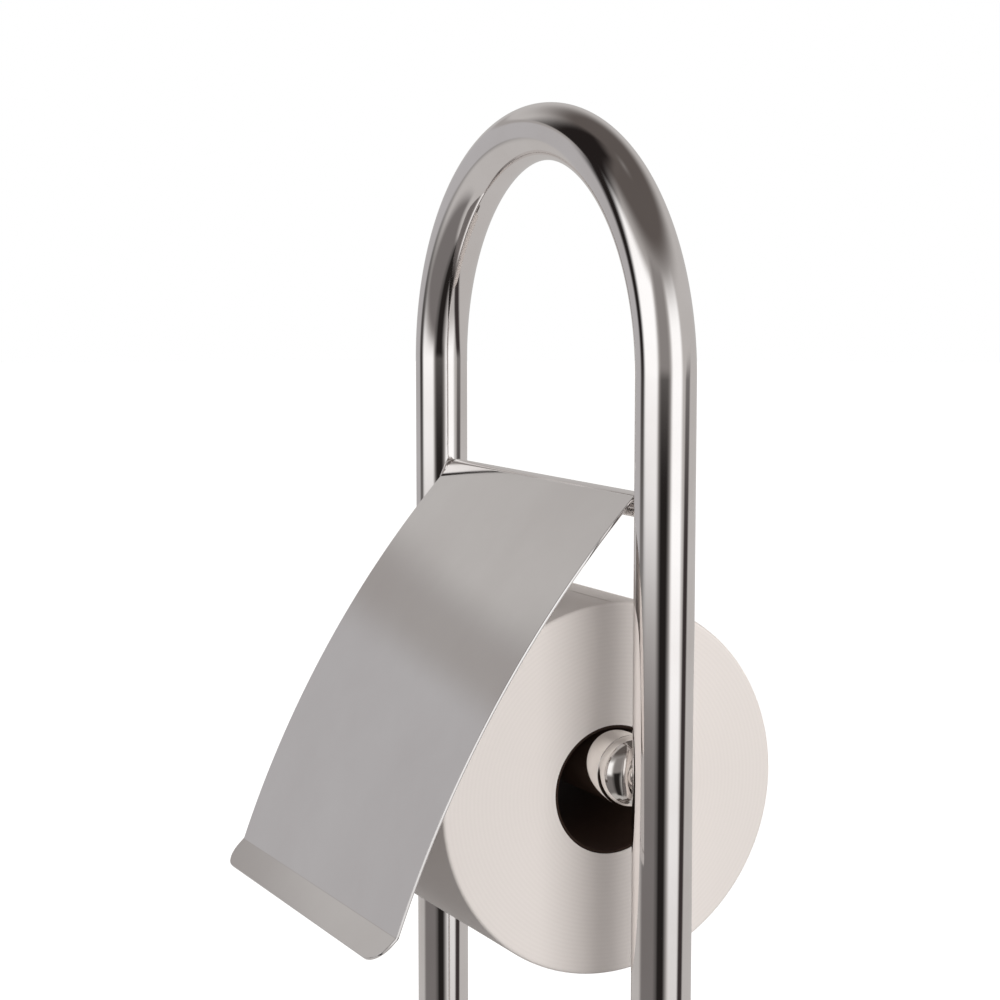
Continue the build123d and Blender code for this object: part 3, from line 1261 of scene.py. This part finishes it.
@dataclass
class Studio:
    """The pale floor, the white surround and the soft lights."""

    floor_radius: float = 12.0
    floor_glow: float = 0.85  # the floor's own light, which keeps it as pale as the surround
    lens_length: float = 78.2  # in mm, for a sensor of the usual 36 mm
    camera_place: Vector = field(default_factory=lambda: Vector((644.2, -350.3, 171.4)) * MM)
    wall_shade: str = "#BDBAB8"
    boxes: tuple[SoftBox, ...] = (
        SoftBox("side_box", 95.0, 15.0, 1.2, 0.9, 0.8, 6.8),
        SoftBox("top_box", 60.0, 80.0, 1.2, 0.9, 0.9, 4.5),
    )
    camera_azimuth: float = 62.6
    camera_elevation: float = 6.35
    panels: tuple[Panel, ...] = (
        # Overhead: an unlit ceiling, which the arch's upper right shoulder mirrors
        Panel("ceiling", "#5E5855", 0.0, 200.0, 40.0, 95.0, level_soft=30.0),
        # Left: an open doorway, then a window, then the table's grey edge below the window
        Panel("doorway", "#231F1E", -105.0, 22.0, -10.0, 70.0, side_soft=20.0, level_soft=20.0),
        Panel("window", "#FFFFFF", -62.0, 28.0, -7.0, 28.0, side_soft=16.0, level_soft=12.0, gain=1.1),
        Panel("table_edge", "#777372", -57.0, 35.0, -60.0, -10.0, side_soft=20.0, level_soft=10.0),
        # Middle: the camera's own side of the room, black low down and grey above
        Panel("camera_side", "#8A8684", -8.0, 20.0, -9.0, 40.0, side_soft=16.0),
        Panel("camera_stand", "#242120", -9.0, 19.0, -65.0, -2.0, side_soft=22.0, level_soft=8.0),
        # Right: a reflector, and the black flag that stands beyond it
        Panel("reflector", "#FFFFFF", 39.0, 20.0, -17.0, 28.0, side_soft=14.0, level_soft=26.0, gain=1.1),
        Panel("flag", "#393333", 88.0, 11.0, -65.0, -1.0, side_soft=10.0, level_soft=14.0, lean=0.9),
        # Behind: the lower part of the back wall, cooler, with a darker rail along its top
        Panel("wall_base", "#B4B2B3", -135.0, 24.0, -10.0, 21.0, side_soft=12.0, level_soft=4.0),
        Panel("wall_rail", "#A4A09E", -135.0, 24.0, 18.0, 22.0, side_soft=12.0, level_soft=3.0),
    )

    def dome(self) -> None:
        """Makes the world: white behind the stand, and panels for the light and the reflections."""
        world = bpy.data.worlds.new("studio")
        bpy.context.scene.world = world
        world.use_nodes = True
        tree = world.node_tree
        tree.nodes.clear()
        way = add(tree, "SeparateXYZ", {0: add(tree, "TexCoord").outputs["Generated"]})
        forward = add(tree, "Math", {0: way.outputs["Y"], 1: -1.0}, operation="MULTIPLY").outputs[0]
        azimuth = add(tree, "Math", {0: way.outputs["X"], 1: forward}, operation="ARCTAN2").outputs[0]
        elevation = add(tree, "Math", {0: way.outputs["Z"]}, operation="ARCSINE").outputs[0]
        shade = add(tree, "RGB").outputs[0]
        shade.default_value = colour(self.wall_shade)
        for panel in self.panels:
            shade = self.paint(tree, panel, azimuth, elevation, shade)
        seen = add(tree, "LightPath").outputs["Is Camera Ray"]
        light = add(tree, "Background", {"Color": shade, "Strength": 1.0}).outputs[0]
        white = add(tree, "Background", {"Color": colour("#FFFFFF"), "Strength": 1.0}).outputs[0]
        both = add(tree, "MixShader", {0: seen, 1: light, 2: white}).outputs[0]
        add(tree, "OutputWorld", {"Surface": both})

    def paint(
        self,
        tree: bpy.types.NodeTree,
        panel: Panel,
        azimuth: bpy.types.NodeSocket,
        elevation: bpy.types.NodeSocket,
        under: bpy.types.NodeSocket,
    ) -> bpy.types.NodeSocket:
        """Lays one panel over the colour so far.

        Args:
            tree: The world's node tree.
            panel: The panel.
            azimuth: Each direction's azimuth, in radians.
            elevation: Each direction's elevation, in radians.
            under: The colour so far.

        Returns:
            The colour with the panel on it.
        """
        middle = math.radians(self.camera_azimuth + panel.azimuth)
        leaned = {0: elevation, 1: -panel.lean, 2: azimuth}
        drift = add(tree, "Math", leaned, operation="MULTIPLY_ADD").outputs[0]
        off = add(tree, "Math", {0: drift, 1: -middle}, operation="ADD").outputs[0]
        wrapped = add(tree, "Math", {0: off, 1: math.pi, 2: -math.pi}, operation="WRAP").outputs[0]
        aside = add(tree, "Math", {0: wrapped}, operation="ABSOLUTE").outputs[0]
        edges = (
            (aside, panel.reach, panel.side_soft, True),
            (elevation, panel.bottom, panel.level_soft, False),
            (elevation, panel.top, panel.level_soft, True),
        )
        mask = None
        for value, edge, soft, falls in edges:
            fade = add(
                tree,
                "MapRange",
                {
                    "Value": value,
                    "From Min": math.radians(edge - soft / 2),
                    "From Max": math.radians(edge + soft / 2),
                    "To Min": 1.0 if falls else 0.0,
                    "To Max": 0.0 if falls else 1.0,
                },
                interpolation_type="SMOOTHSTEP",
            ).outputs["Result"]
            if mask is None:
                mask = fade
            else:
                mask = add(tree, "Math", {0: mask, 1: fade}, operation="MULTIPLY").outputs[0]
        lit = [channel * panel.gain for channel in colour(panel.shade)[:3]]
        return add(
            tree, "Mix", {"Factor": mask, "A": under, "B": (*lit, 1.0)}, data_type="RGBA", label=panel.name
        ).outputs["Result"]

    def hang(self, box: SoftBox) -> None:
        """Hangs one soft box, turned to the roll; it models the paper and isn't seen in the metal."""
        lamp = bpy.data.lights.new(box.name, "AREA")
        lamp.shape = "RECTANGLE"
        lamp.size, lamp.size_y = box.width, box.height
        lamp.energy = box.watts
        lamp.color = colour("#FFFBF7")[:3]
        light = bpy.data.objects.new(box.name, lamp)
        bpy.context.collection.objects.link(light)
        out = bearing(box.azimuth, box.elevation)
        light.location = Span.of("paper_roll").centre + out * box.distance
        light.rotation_mode = "QUATERNION"
        light.rotation_quaternion = out.to_track_quat("Z", "Y")
        light.visible_glossy = False
        light.visible_camera = False

    def floor(self) -> None:
        """Makes the pale floor, seen by the camera and shaded by the stand."""
        bench = Bench(
            "studio_floor",
            bpy.ops.mesh.primitive_circle_add,
            vertices=96,
            radius=self.floor_radius,
            fill_type="NGON",
        )
        floor = bench.done()
        material, tree, shader = new_material("pale_studio_floor")
        pale = {"Base Color": colour("#F4F4F4"), "Roughness": 0.9}
        glow = {"Emission Color": colour("#FFFFFF"), "Emission Strength": self.floor_glow}
        feed(tree, shader, pale | glow)
        dress(floor, material)
        floor.visible_glossy = False
        floor.visible_diffuse = False

    def camera(self) -> None:
        """Sets the camera to the right of the flap, a little above the roll."""
        lens = bpy.data.cameras.new("view")
        lens.sensor_width = 36.0
        lens.lens = self.lens_length
        lens.clip_start, lens.clip_end = 0.05, 60.0
        camera = bpy.data.objects.new("view", lens)
        bpy.context.collection.objects.link(camera)
        back = bearing(self.camera_azimuth, self.camera_elevation)
        roll_at = Span.of("paper_roll").centre
        camera.location = roll_at + self.camera_place
        camera.rotation_mode = "QUATERNION"
        camera.rotation_quaternion = (-back).to_track_quat("-Z", "Y")
        bpy.context.scene.camera = camera

    def build(self) -> None:
        """Builds the whole studio."""
        self.camera()
        self.dome()
        for box in self.boxes:
            self.hang(box)
        self.floor()
        bpy.context.scene.view_settings.view_transform = "Standard"


def main() -> None:
    """Builds the studio and every piece of the stand."""
    Studio().build()
    pieces = [FrameTube().build(), Crossbar().build(), Flap().build(), Base().build()]
    pieces += Roller().build() + Roll().build()
    HiddenParts().dress_all()
    for piece in pieces:
        log.info("%s: %d faces", piece.name, len(piece.data.polygons))


if __name__ == "__main__":
    main()
